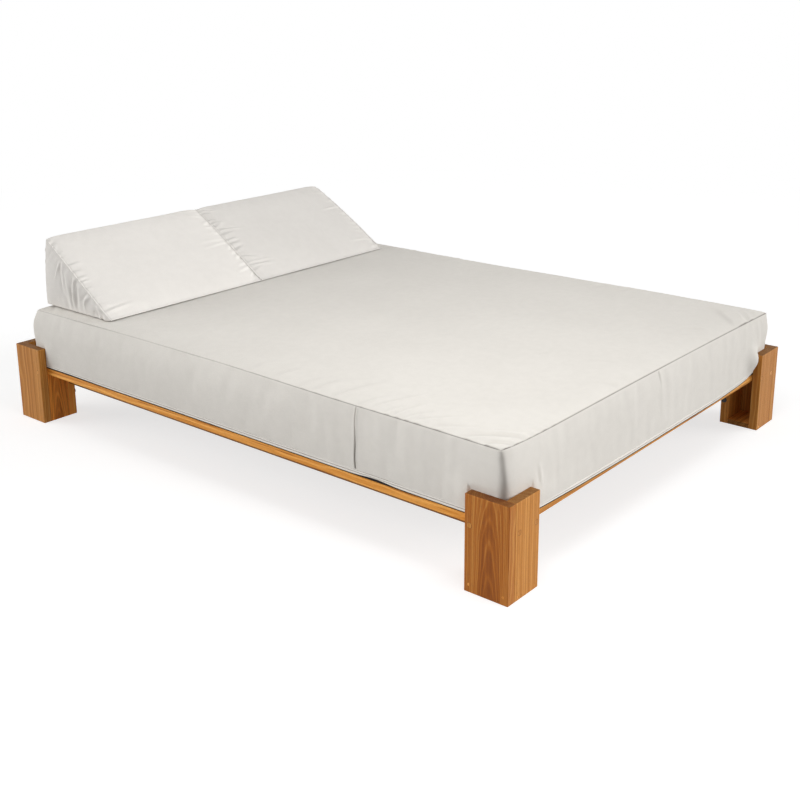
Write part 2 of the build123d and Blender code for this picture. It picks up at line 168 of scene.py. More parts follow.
teakLook = {
    "dark": (0.235, 0.07, 0.008),
    "middle": (0.45, 0.168, 0.026),
    "light": (0.68, 0.34, 0.09),
    "ringWidth": 5.0 * mm,
    "fibreScale": 900,
    "relief": 0.25 * mm,
    "specular": 0.22,
    "veins": 0.0,
}

# The board nearest the camera has a redder, deeper palette, painted shade for its face that lies in shade,
# and the deck's edges have dark veins
shadedFlameLook = {
    **teakLook,
    "dark": (0.215, 0.052, 0.004),
    "middle": (0.43, 0.13, 0.013),
    "light": (0.66, 0.29, 0.062),
}
edgeLook = {**teakLook, "middle": (0.47, 0.172, 0.02), "light": (0.72, 0.36, 0.085), "veins": 0.42}


def teakFinish(name, grain, tone=1.0, taper=0.05, look=teakLook):
    # Growth rings round a pith line that runs along the grain, each board with a pith of its own
    finish = newFinish(name)
    place = finish.coordinate()
    pith, luck = [
        finish.add("ShaderNodeAttribute", {"attribute_type": "OBJECT", "attribute_name": name}, {}, output)
        for name, output in (("pith", 1), ("luck", 2))
    ]
    local = finish.add("ShaderNodeVectorMath", {"operation": "SUBTRACT"}, {0: place, 1: pith})
    parts = finish.split(local)
    along = parts.pop(grain)
    first, second = parts

    slow = finish.join(first + luck * 3.1, second - luck * 2.3, along * 0.35 + luck)
    waver = finish.noise(slow, 14, 2.0, 0.55) - 0.5
    fromPith = (first * first + second * second) ** 0.5
    flare = 1 - fromPith.between(30 * mm, 62 * mm) * 0.8
    radius = fromPith + along * flare * taper + waver * (9 * mm)
    rings = radius / look["ringWidth"]
    wide = finish.noise(finish.join(rings * 0.55, luck * 9, 0.0), 1.0, 3.0, 0.65)
    paleLines = ((rings * (2 * math.pi)).sine() * 0.5 + 0.5) ** 4.0
    heart = radius.between(24 * mm, 66 * mm)
    stretched = finish.join(first + luck, second, along * 0.022)
    fibres = finish.noise(stretched, look["fibreScale"], 2.0, 0.6)
    streaks = finish.noise(stretched, look["fibreScale"] * 0.16, 2.0, 0.6)
    pores = finish.noise(finish.join(first, second + luck, along * 0.05), 1500, 1.0).between(0.62, 0.72)

    shade = wide.between(0.28, 0.72) * 0.3 + paleLines * (wide * 0.44) + streaks.between(0.3, 0.7) * 0.2
    veins = finish.noise(stretched, 260).between(0.58, 0.66)
    shade = shade + heart * 0.34 - veins * look["veins"] - 0.05
    colour = finish.ramp(shade, [(0.05, look["dark"]), (0.5, look["middle"]), (0.95, look["light"])])
    facing = abs(finish.split(finish.coordinate("Normal"))[grain])
    endGrain = facing.between(0.6, 0.9)
    grey = (fibres * 0.26 + 0.87) * (1 - pores * 0.3) * (1 - endGrain * 0.58) * (luck * 0.3 + 0.85)
    grey = grey * tone
    colour = finish.blend(1.0, colour, finish.join(grey, grey, grey), "MULTIPLY")
    roughness = 0.58 - shade * 0.1 + endGrain * 0.12
    height = fibres * 0.6 + paleLines * 0.25 - pores * 0.8
    return finish.surface(colour, roughness, height, look["relief"], Specular_IOR_Level=look["specular"])


def setBoard(name, material, pithShift, luck):
    # pithShift is from the board's middle to the pith line, in millimetres
    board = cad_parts[name]
    low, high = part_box(name)
    board["pith"] = list((low + high) / 2 + Vector(pithShift) * mm)
    board["luck"] = luck
    useMaterial(board, material)


def useMaterial(piece, material):
    if not piece.material_slots:
        piece.data.materials.append(material)
    for slot in piece.material_slots:
        slot.material = material


def dressLegs():
    flame = teakFinish("flame board teak", 2, tone=1.07, taper=0.08, look=shadedFlameLook)
    straight = teakFinish("straight board teak", 2, tone=1.03, taper=0.015)
    base = teakFinish("base board teak", 0, tone=1.35, taper=0.03)
    # The side of each corner in x and y, its luck, and the tone of its inner board, raised well above the
    # others:
    # painted light on the inner boards, which lie in shade under the deck
    corners = {
        "foot_left": (-1, -1, 0.1, 1.7),
        "foot_right": (1, -1, 0.55, 1.3),
        "head_left": (-1, 1, 0.6, 2.15),
        "head_right": (1, 1, 0.4, 1.7),
    }
    for corner, (x, y, luck, tone) in corners.items():
        inner = teakFinish(f"{corner} inner board teak", 2, tone=tone, taper=0.075)
        setBoard(f"{corner}_side_board", straight, (-x * 140, y * 70, 0), luck)
        setBoard(f"{corner}_end_board", straight, (x * 150, y * 60, 0), 1 - luck)
        setBoard(f"{corner}_inner_board", inner, (x * 20, -y * 34, 0), (luck * 3) % 1)
        setBoard(f"{corner}_base_board", base, (0, y * 70, -40), (luck * 5) % 1)
    setBoard("foot_left_side_board", flame, (21, -9, 0), corners["foot_left"][2])


def dressDeck():
    random.seed(52)
    edge = teakFinish("deck edge teak", 1, tone=1.3, taper=0.012, look=edgeLook)
    cross = teakFinish("cross board teak", 0, tone=1.08, taper=0.012, look=edgeLook)
    slat = teakFinish("slat teak", 0, tone=0.9, taper=0.03)
    for name, x in (("left", -1), ("right", 1)):
        setBoard(f"{name}_deck_board", edge, (-x * 90, 0, -46), random.random())
    for name, y in (("foot", -1), ("head", 1)):
        setBoard(f"{name}_deck_board", cross, (0, -y * 80, -40), random.random())
    for name in sorted(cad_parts):
        if name.startswith("deck_slat"):
            luck = random.random()
            setBoard(name, slat, (0, (luck - 0.5) * 60, -20 - 60 * luck), luck)


def dressRails():
    random.seed(63)
    # Nodes, finish, grain, tone, taper and pith
    rows = (
        (("left_side_rail", "right_side_rail", "centre_rail"), "long rail teak", 1, 0.55, 0.01, (60, 0, 30)),
        (("foot_end_rail", "head_end_rail"), "end rail teak", 0, 0.55, 0.01, (0, 60, 30)),
        (("centre_foot",), "centre foot teak", 2, 0.7, 0.04, (40, 50, 0)),
    )
    for names, title, grain, tone, taper, pith in rows:
        material = teakFinish(title, grain, tone, taper)
        for name in names:
            setBoard(name, material, pith, random.random())


def smallFinish(name, tints, scale, roughness, relief, **fixed):
    # Fine noise between two tints, and between two values of roughness
    finish = newFinish(name)
    fine = finish.noise(finish.coordinate(), scale)
    colour = finish.blend(fine, (*tints[0], 1), (*tints[1], 1))
    low, high = roughness
    return finish.surface(colour, fine * (high - low) + low, fine, relief, **fixed)


fastenerLook = {
    "plugTone": 1.16,
    "pinTone": 1.25,
    "steel": ((0.56, 0.55, 0.53), (0.42, 0.41, 0.4)),
    "cap": ((0.012, 0.012, 0.013), (0.05, 0.048, 0.045)),
}


def dressFasteners(look=fastenerLook):
    plug = teakFinish("plug teak", 2, tone=look["plugTone"], taper=0.0)
    pin = teakFinish("pin teak", 2, tone=look["pinTone"], taper=0.0)
    setBoard("leg_plugs", plug, (300, 200, 0), 0.3)
    setBoard("leg_pins", pin, (200, 300, 0), 0.7)
    steel = smallFinish("screw steel", look["steel"], 900, (0.3, 0.5), 0.05 * mm, Metallic=1.0)
    for name in ("leg_screws", "leg_bolts", "rail_screws", "deck_screws"):
        useMaterial(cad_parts[name], steel)

    finish = newFinish("cap plastic")
    place = finish.coordinate()
    grainy = finish.noise(place, 1600, 1.0)
    dusty = finish.noise(place, 60, 3.0).between(0.45, 0.75)
    black, dust = look["cap"]
    colour = finish.blend(dusty * 0.25, (*black, 1), (*dust, 1))
    cap = finish.surface(colour, grainy * 0.15 + 0.38, grainy, 0.04 * mm)
    useMaterial(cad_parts["bolt_caps"], cap)


plugRingLook = {
    "tints": ((0.11, 0.04, 0.013), (0.16, 0.062, 0.02)),
    "radii": (7.25 * mm, 7.85 * mm),
    "proud": 0.12 * mm,
    "sides": 40,
}


def plugCentres():
    # The middle of each plug's outer face, with the way that it faces
    mesh = bmesh.new()
    mesh.from_mesh(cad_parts["leg_plugs"].data)
    bmesh.ops.remove_doubles(mesh, verts=mesh.verts, dist=0.01 * mm)
    left = set(mesh.verts)
    centres = []
    while left:
        island = {left.pop()}
        edge = set(island)
        while edge:
            edge = {end for vert in edge for link in vert.link_edges for end in link.verts} - island
            island |= edge
        left -= island
        places = np.array([vert.co[:] for vert in island])
        low, high = places.min(0), places.max(0)
        facing = np.where(np.arange(3) == np.argmin(high - low), np.sign(low + high), 0)
        centres.append(((low + high + facing * (high - low)) / 2, facing))
    mesh.free()
    return centres


def circle(mesh, centre, facing, radius, sides, lift=0.0):
    # A ring of points round a line through the centre
    turn = Vector(facing).to_track_quat("Z", "Y")
    steps = [math.tau * side / sides for side in range(sides)]
    places = [Vector((radius * math.cos(step), radius * math.sin(step), lift)) for step in steps]
    return [mesh.verts.new(Vector(centre) + turn @ place) for place in places]


def joinLoops(mesh, here, there):
    # Faces between two loops of as many points
    pairs = list(zip(here, there))
    return [
        mesh.faces.new((first, second, after[1], after[0]))
        for (first, second), after in zip(pairs, pairs[1:] + pairs[:1])
    ]


def makePlugRings(look=plugRingLook):
    # A thin dark ring round each plug: its glue line, and painted shade of the gap round the plug
    mesh = bmesh.new()
    for centre, facing in plugCentres():
        joinLoops(mesh, *[
            circle(mesh, centre, facing, radius, look["sides"], look["proud"])
            for radius in look["radii"]
        ])
    piece = newPiece("plug_glue_and_gap_shade_lines", mesh)
    useMaterial(piece, smallFinish("plug glue and gap shade line", look["tints"], 700, (0.6, 0.7), 0.02 * mm))
    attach(piece, "platform")
    print("plug rings done:", len(piece.data.polygons), "faces")


# Cloth

clothLook = {
    "light": (0.85, 0.816, 0.76),
    "dark": (0.79, 0.757, 0.702),
    # seam: the colour of the painted shade in seams, folds, the pleat and the near corner
    "seam": (0.25, 0.222, 0.2),
    "threadPitch": 0.65 * mm,
    "relief": 0.22 * mm,
    "sheen": 0.05,
    "specular": 0.2,
}

wedgeClothLook = {**clothLook, "light": (0.86, 0.828, 0.785), "dark": (0.805, 0.773, 0.73)}


def clothFinish(name, look=clothLook, tone=1.0):
    # Plain weave on whichever two axes lie in the surface, thread slubs, and painted shade.
    # The painted shade attribute is 0 on open cloth, 1 for painted shade in a seam, and 2 for painted shadow
    # in a deep gap
    finish = newFinish(name)
    place = finish.coordinate()
    px, py, pz = finish.split(place)
    facing = [part * part for part in finish.split(finish.coordinate("Normal"))]
    turns = math.pi / look["threadPitch"]
    x, y, z = [(part * turns).sine() for part in (px, py, pz)]
    weave = facing[0] * (y * z) + facing[1] * (x * z) + facing[2] * (x * y)
    slubs = finish.noise(finish.join(px * 6, py, pz), 260)
    slubs = slubs + finish.noise(finish.join(px, py * 6, pz), 260)
    mottle = finish.noise(place, 34, 3.0, 0.6)
    cloud = finish.noise(place, 3.5)
    crease = finish.add("ShaderNodeAttribute", {"attribute_name": "crease"}, {}, 2)
    tint = mottle.between(0.3, 0.7) * 0.35 + cloud.between(0.3, 0.7) * 0.35 + slubs * 0.15
    colour = finish.blend(tint, (*look["dark"], 1), (*look["light"], 1))
    # Painted shade: towards the seam colour up to 1, and towards black above 1, a painted shadow in deep
    # gaps
    paintedGapShadow = finish.add("ShaderNodeMath", {"operation": "SUBTRACT", "use_clamp": True}, {0: crease, 1: 1.0})
    weaveAndPaintedShadow = (weave * 0.05 + 0.97) * (1 - paintedGapShadow * 0.93) * tone
    colour = finish.blend(crease, colour, (*look["seam"], 1))
    colour = finish.blend(1.0, colour, finish.join(weaveAndPaintedShadow, weaveAndPaintedShadow, weaveAndPaintedShadow), "MULTIPLY")
    height = weave * 0.35 + slubs * 0.45 + mottle * 0.6
    return finish.surface(
        colour, 0.86 + mottle * 0.08, height, look["relief"],
        Sheen_Weight=look["sheen"], Sheen_Roughness=0.5, Specular_IOR_Level=look["specular"],
    )


# Soft goods: the shared steps

def slicedBox(counts):
    # A closed box from -1 to 1 with that many faces along each axis
    mesh = bmesh.new()
    bmesh.ops.create_cube(mesh, size=2)
    for axis, count in enumerate(counts):
        edges = [e for e in mesh.edges if abs(e.verts[0].co[axis] - e.verts[1].co[axis]) > 0.5]
        bmesh.ops.subdivide_edges(mesh, edges=edges, cuts=count - 1, use_grid_fill=True)
    return mesh


def newPiece(name, mesh):
    data = bpy.data.meshes.new(name)
    mesh.to_mesh(data)
    mesh.free()
    piece = bpy.data.objects.new(name, data)
    scene.collection.objects.link(piece)
    return piece


def readPoints(piece, kind="co"):
    values = np.empty(len(piece.data.vertices) * 3)
    piece.data.vertices.foreach_get(kind, values)
    return values.reshape(-1, 3)


def writePoints(piece, points):
    piece.data.vertices.foreach_set("co", np.asarray(points, float).ravel())
    piece.data.update()


def smoothstep(value, low, high):
    share = np.clip((value - low) / (high - low), 0, 1)
    return share * share * (3 - 2 * share)


def applyModifiers(piece):
    made = bpy.data.meshes.new_from_object(piece.evaluated_get(bpy.context.evaluated_depsgraph_get()))
    piece.modifiers.clear()
    piece.data = made


def subdivide(piece, way="CATMULL_CLARK", levels=1):
    modifier = piece.modifiers.new("finer", "SUBSURF")
    modifier.subdivision_type = way
    modifier.levels = levels
    applyModifiers(piece)


def cutRows(piece, axis, low, high, cuts):
    # More rows of faces between two places along an axis, right round the piece
    mesh = bmesh.new()
    mesh.from_mesh(piece.data)
    chosen = []
    for edge in mesh.edges:
        first, second = [end.co for end in edge.verts]
        isAlong = abs(second[axis] - first[axis]) > 0.7 * (second - first).length
        if isAlong and low < (first[axis] + second[axis]) / 2 < high:
            chosen.append(edge)
    bmesh.ops.subdivide_edges(mesh, edges=chosen, cuts=cuts, use_grid_fill=True)
    mesh.to_mesh(piece.data)
    mesh.free()


# The cloth simulation, by the names of its own settings
fillLook = {
    "quality": 4,
    "mass": 0.3,
    "tension_stiffness": 15.0,
    "compression_stiffness": 15.0,
    "shear_stiffness": 5.0,
    "vertex_group_mass": "held",
    "use_pressure": True,
}


def firstFill(look):
    # The share of the crown that the pattern has, before a simulation fills it
    return look["fillBefore"]


def puffUp(piece, points, held, look, frames=20):
    # Air pressure fills the cover, which is a little larger than its pattern, and the seams hold it.
    writePoints(piece, points)
    rest = readPoints(piece)
    group = piece.vertex_groups.new(name="held")
    group.add(np.flatnonzero(held).tolist(), 1.0, "REPLACE")
    cover = piece.modifiers.new("cover", "CLOTH")
    for key, value in {**fillLook, **look["fill"]}.items():
        setattr(cover.settings, key, value)
    cover.settings.effector_weights.gravity = 0
    cover.collision_settings.use_collision = False
    for number in range(1, frames + 1):
        scene.frame_set(number)
    applyModifiers(piece)
    scene.frame_set(1)
    move = readPoints(piece) - rest
    distance = np.linalg.norm(move, axis=1, keepdims=True) + 1e-9
    limited = look["cap"] * np.tanh(distance / look["cap"])
    writePoints(piece, rest + move * (limited / distance))
    piece.vertex_groups.clear()
    print(piece.name, "filled, moved up to", round(distance.max() / mm, 1), "mm before the cap")
    return readPoints(piece)


def seamRoute(points):
    # A closed seam as points 1 mm apart
    route = np.concatenate([points, points[:1]])
    steps = np.linalg.norm(np.diff(route, axis=0), axis=1)
    travelled = np.concatenate([[0], np.cumsum(steps)])
    even = np.arange(0, travelled[-1], 1 * mm)
    return np.stack([np.interp(even, travelled, route[:, axis]) for axis in range(3)], 1)


def nearSeam(points, seam, reach):
    # For each point, the distance to the seam and the seam's nearest point
    tree = kdtree.KDTree(len(seam))
    for index, place in enumerate(seam):
        tree.insert(place, index)
    tree.balance()
    close = (points > seam.min(0) - reach) & (points < seam.max(0) + reach)
    distance = np.ones(len(points))
    nearest = points.copy()
    for index in np.flatnonzero(close.all(1)):
        place, found, gap = tree.find(points[index])
        if gap < reach:
            distance[index] = gap
            nearest[index] = place
    return distance, nearest


def drawRowsTogether(piece, seam, reach, power=0.6):
    # Slides the rows of the mesh towards a seam, so that the seam is crisp
    points = readPoints(piece)
    distance, nearest = nearSeam(points, seam, reach)
    close = (distance < reach) & (distance > 0.05 * mm)
    scale = np.where(close, (np.minimum(distance, reach) / reach) ** power, 1.0)
    writePoints(piece, nearest + (points - nearest) * scale[:, None])


def hump(value, width):
    # 1 where the value is 0, and falling on both sides
    return np.exp(-(value / width) ** 2)


def noiseAt(points, scale, offset):
    # Smooth noise from -1 to 1
    return np.array([noise.noise(Vector(point) * scale + Vector(offset)) for point in points])


def foldHeights(flat, folds):
    # How high the folds stand on a panel, seen in its own plane
    total = np.zeros(len(flat))
    for *ends, width, height in folds:
        start = np.array(ends[:2])
        run = np.array(ends[2:]) - start
        length = np.hypot(*run)
        along = (flat - start) @ run / length ** 2
        off = (flat - start) @ (-run[1], run[0]) / length / width
        fade = smoothstep(along, -0.05, 0.12) * (1 - smoothstep(along, 0.35, 1.0))
        total += height * fade * (hump(off, 1) - 0.55 * hump(off - 1.7, 1))
    return total


def setPaintedShade(piece, values):
    # The painted shade at each vertex, which the cloth finish reads: seams, folds, gaps and the near corner
    crease = piece.data.attributes.new("crease", "FLOAT", "POINT")
    crease.data.foreach_set("value", np.clip(values, 0, 2).astype(np.float32))


def seamProfile(offset, waves):
    # Grooves and rolls across a sewn seam, each with a place, a height and a width in millimetres
    total = np.zeros(len(offset))
    for place, height, width in waves:
        total += height * mm * hump(offset / mm - place, width)
    return total


def finishSoft(piece, material, body, slotName, fill, *parts):
    # The piece takes the place of these parts of its body
    piece.data.shade_smooth()
    useMaterial(piece, material)
    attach(piece, body)
    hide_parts(*[f"{body}_{part}" for part in parts])
    print(piece.name, "done:", len(piece.data.vertices), "vertices")


# The mattress

mattressLook = {
    "faces": (104, 132, 13),
    "edgeBias": 0.5,
    "corner": 15 * mm,
    "pullIn": 5 * mm,
    "belly": 3 * mm,
    "plateau": 90 * mm,
    "cornerDrop": 4 * mm,
    # How the seam's corners are drawn inwards: across, and along at the bottom and at the top
    "cornerPull": (4 * mm, 7 * mm, 20 * mm),
    "cornerBelly": 3 * mm,
    # Towards the head end the band turns over the edge, and the seam lies further in
    "shoulder": 17 * mm,
    "shoulderRun": (-0.55, 0.15),
    # The near corner's painted shade and its reach
    "cornerShade": (0.4, 9 * mm),
    "cornerShadeFoot": (0.26, 32 * mm),
    "fillBefore": 0.45,
    "fill": {"bending_stiffness": 0.6, "shrink_min": -0.004, "uniform_pressure_force": 2.0},
    "cap": 7 * mm,
    # More rows of faces for the folds: axis, low, high and cuts
    "rowCuts": [(1, -0.995, -0.66, 1), (0, -0.77, -0.58, 1), (0, 0.58, 0.77, 1), (0, -0.026, 0.02, 2)],
    "seamReach": 26 * mm,
    "topSeam": [(0, -1.8, 1.3), (3.6, 1, 1.8), (-3.6, 0.4, 1.8)],
    "tuck": 5 * mm,
    "pleat": -528 * mm,
    "pleatDepth": 5 * mm,
    "pleatReach": 32 * mm,
    # How far the foot end's border hangs over the deck's edge: x and drop in millimetres
    "footHang": [(-688, 0), (-655, 5), (-450, 11), (-200, 15), (400, 16), (560, 10), (675, 0)],
    "footOut": 4.5 * mm,
    # The cover bulges beside the leg boards: how far, how wide, and how far from the board
    "squeeze": 5 * mm,
    "squeezeMost": 22 * mm,
    "squeezeWidth": 34 * mm,
    "squeezePlace": 26 * mm,
}

bandLow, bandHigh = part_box("mattress_side_band")
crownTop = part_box("mattress_top_panel")[1].z
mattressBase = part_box("mattress_bottom_panel")[0].z
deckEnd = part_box("foot_deck_board")[0].y
mattressMiddle = (bandLow + bandHigh) / 2
mattressHalf = (bandHigh - bandLow) / 2


def biased(unit, bias):
    # Rows closer together near -1 and 1
    return (1 - bias) * unit + bias * np.sin(unit * math.pi / 2)


def mattressShape(unit, look):
    # From a point of the sliced box to the mattress's surface
    fill = firstFill(look)
    rows = look["faces"][2]
    a = biased(unit[:, 0], look["edgeBias"])
    b = biased(unit[:, 1], look["edgeBias"])
    half = np.array(mattressHalf)[:2, None]
    flat = np.array([a, b]) * half
    level = (unit[:, 2] + 1) / 2 * rows
    share = biased(np.clip((level - 1) / (rows - 1), 0, 1) * 2 - 1, look["edgeBias"]) / 2 + 0.5
    corner = look["corner"] * (1 - 0.8 * smoothstep(share, 0.6, 0.98))
    inner = np.clip(flat, corner - half, half - corner)
    out = flat - inner
    longest = np.abs(out).max(0)
    x, y = inner + out * np.where(longest > 0, longest / np.maximum(np.hypot(*out), 1e-9), 1.0)
    edge = np.minimum(mattressHalf.x - np.abs(x), mattressHalf.y - np.abs(y))

    onBand = bandLow.z + share * (bandHigh.z - bandLow.z)
    z = np.where(level < 1, mattressBase + level * (bandLow.z - mattressBase), onBand)
    onTop = unit[:, 2] > 0.9999
    cornerness = np.abs(a) ** 6 * np.abs(b) ** 6
    tip = np.abs(a) ** 16 * np.abs(b) ** 16
    rise = 1 - (1 - np.clip(edge / look["plateau"], 0, 1)) ** 5.5
    z = np.where(onTop, bandHigh.z + fill * (crownTop - bandHigh.z) * rise, z)
    z = z - look["cornerDrop"] * cornerness * smoothstep(z, bandLow.z, bandHigh.z)

    belly = look["belly"] * (1 - fill * 4 * share * (1 - share)) * (0.2 + 0.8 * share)
    belly += look["tuck"] * np.clip(1 - level, 0, 1)
    belly -= tip * look["cornerBelly"] * np.where(a < 0, 1, 2) * hump(share - 0.7, 0.2)
    pullIn = look["pullIn"] * (0.15 + 0.85 * share)
    across, alongLow, alongHigh = look["cornerPull"]
    aside = tip * across * smoothstep(share, 0.45, 1.0)
    along = alongLow + (alongHigh - alongLow) * smoothstep(share, 0.5, 1.0)
    inwards = np.abs(a) ** 9 * np.abs(b) ** 16 * along * np.where((a < 0) & (b < 0), 1, 0.25)
    shoulder = look["shoulder"] * smoothstep(y, *look["shoulderRun"])
    shoulder = shoulder * np.clip((share - 0.66) / 0.34, 0, 1) ** 2.5
    x = x * (1 - (pullIn * (1 - b ** 2) + belly + aside + shoulder) / mattressHalf.x)
    y = y * (1 - (pullIn * (1 - a ** 2) + belly + inwards) / mattressHalf.y)
    return np.stack([x + mattressMiddle.x, y + mattressMiddle.y, z], 1)


def ringPoints(points, unit, level):
    # The points of one level of the box, in order round the mattress
    onEdge = np.abs(unit[:, :2]).max(1) > 0.9999
    ring = np.flatnonzero(onEdge & (np.abs(unit[:, 2] - level) < 1e-4))
    a, b = unit[ring, :2].T
    turn = np.where(b < -0.9999, a, np.where(a > 0.9999, 2 + b, np.where(b > 0.9999, 4 - a, 6 - b)))
    return points[ring[np.argsort(turn, kind="stable")]]


# Folds in a panel's own plane: start, end, width and height, in millimetres
topFolds = np.array([
    (-765, -1008, -790, -960, 6, 2.4), (-786, -950, -740, -1030, 6, 3), (-722, -1012, -790, -900, 7, 3.4),
    (-786, -888, -690, -1040, 7, 3.4), (-670, -1014, -784, -835, 8, 4), (-640, -1016, -740, -880, 9, 2.4),
    (-786, -790, -715, -925, 9, 2.6), (-786, -728, -680, -840, 9, 3), (-786, -695, -690, -760, 8, 2.6),
    (-786, -665, -650, -705, 9, 3.2), (-786, -630, -700, -672, 8, 2.4), (-784, -585, -570, -668, 10, 3),
    (-784, -540, -660, -592, 9, 2.4), (-784, -450, -560, -510, 12, 3), (-782, -370, -620, -402, 11, 2.4),
    (-782, -318, -660, -342, 11, 2), (-780, -215, -630, -235, 12, 2), (-778, -110, -640, -122, 13, 1.8),
    (560, -1026, 752, -856, 16, 5), (590, -1028, 742, -905, 14, 4.4), (640, -1030, 732, -955, 12, 3.6),
    (-600, -1026, -640, -985, 7, 2), (-560, -1026, -610, -965, 7, 1.6), (778, -420, 600, -362, 14, 2),
    (778, -505, 620, -472, 13, 1.8), (780, 280, 620, 330, 14, 1.7), (780, 520, 640, 500, 13, 1.7),
    (-80, -690, -130, -650, 11, 1.5), (-30, -905, -62, -820, 10, 1.6), (-196, -1000, -240, -905, 11, 1.6),
    (448, -945, 400, -885, 11, 1.6),
]) * mm
sideFolds = np.array([
    (-700, 395, -705, 225, 14, 0.9), (-760, 395, -765, 215, 16, 0.8), (-850, 395, -842, 215, 14, 0.9),
    (-610, 395, -615, 240, 13, 0.8), (-470, 250, -420, 330, 14, 1.1), (-250, 395, -262, 230, 18, 0.8),
    (20, 395, 12, 230, 18, 0.7), (330, 395, 342, 230, 20, 0.9), (640, 395, 628, 230, 18, 0.9),
    (860, 395, 868, 250, 14, 1.1),
]) * mm
footFolds = np.array([
    (-640, 268, -650, 330, 7, 2), (-560, 395, -545, 230, 14, 1), (-380, 395, -392, 230, 16, 0.9),
    (-150, 395, -148, 215, 6, 1.2), (60, 395, 75, 220, 16, 1), (260, 395, 268, 220, 17, 0.9),
    (460, 395, 447, 220, 14, 1.2), (600, 395, 612, 230, 13, 1.3), (700, 395, 716, 250, 12, 1.6),
    (-6, 394, 8, 335, 3.5, -3), (6, 392, 30, 200, 14, 2),
]) * mm


def clearOfFrame(points, gap=0.5 * mm):
    # The mattress stays on the deck and inside the four corners that the leg boards make
    x, y, z = points.T
    overDeck = y > deckEnd - 1.0 * mm
    z[overDeck] = np.maximum(z[overDeck], mattressBase)
    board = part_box("foot_left_side_board")[1]
    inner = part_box("head_right_end_board")[0]
    low = z < board.z + 4 * mm
    bySide = low & (np.abs(y) > -board.y - 8 * mm)
    byEnd = low & (np.abs(x) > inner.x - 8 * mm)
    x[bySide] = np.clip(x[bySide], board.x + gap, -board.x - gap)
    y[byEnd] = np.clip(y[byEnd], gap - inner.y, inner.y - gap)
    return points


def hangOverFoot(points, unit, look=mattressLook):
    # Between the legs, the foot end's lower edge stands out past the deck and hangs down over it
    x, y, z = points.T
    places, drops = np.transpose(look["footHang"]) * mm
    drop = np.interp(x, places, drops, 0, 0)
    onFoot = unit[:, 1] < -0.9999
    low = 1 - smoothstep(z, bandLow.z + 4 * mm, bandLow.z + 60 * mm)
    step = np.clip(drop / (5 * mm), 0, 1) * look["footOut"]
    y -= onFoot * step * low
    z -= onFoot * drop * low
    # The next row of the underside stays just outside the deck board
    rows = look["faces"][1]
    under = (unit[:, 2] < -0.9999) & (np.abs(unit[:, 1] + 1 - 2 / rows) < 1e-4) & (drop > 0)
    y[under] = deckEnd - 2.0 * mm
    z[under] = mattressBase + 1.5 * mm
    return points


def besideLegs(x, y, z, look=mattressLook):
    # 1 where the cover bulges over the leg boards, and 0 away from them
    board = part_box("head_right_end_board")[0].x - look["squeezePlace"]
    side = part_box("head_right_side_board")[0].y - look["squeezePlace"]
    nearEnd = hump(np.abs(x) - board, look["squeezeWidth"])
    nearSide = hump(np.abs(y) - side, look["squeezeWidth"])
    level = hump(z - 0.258, 0.04)
    return nearEnd * level, nearSide * level


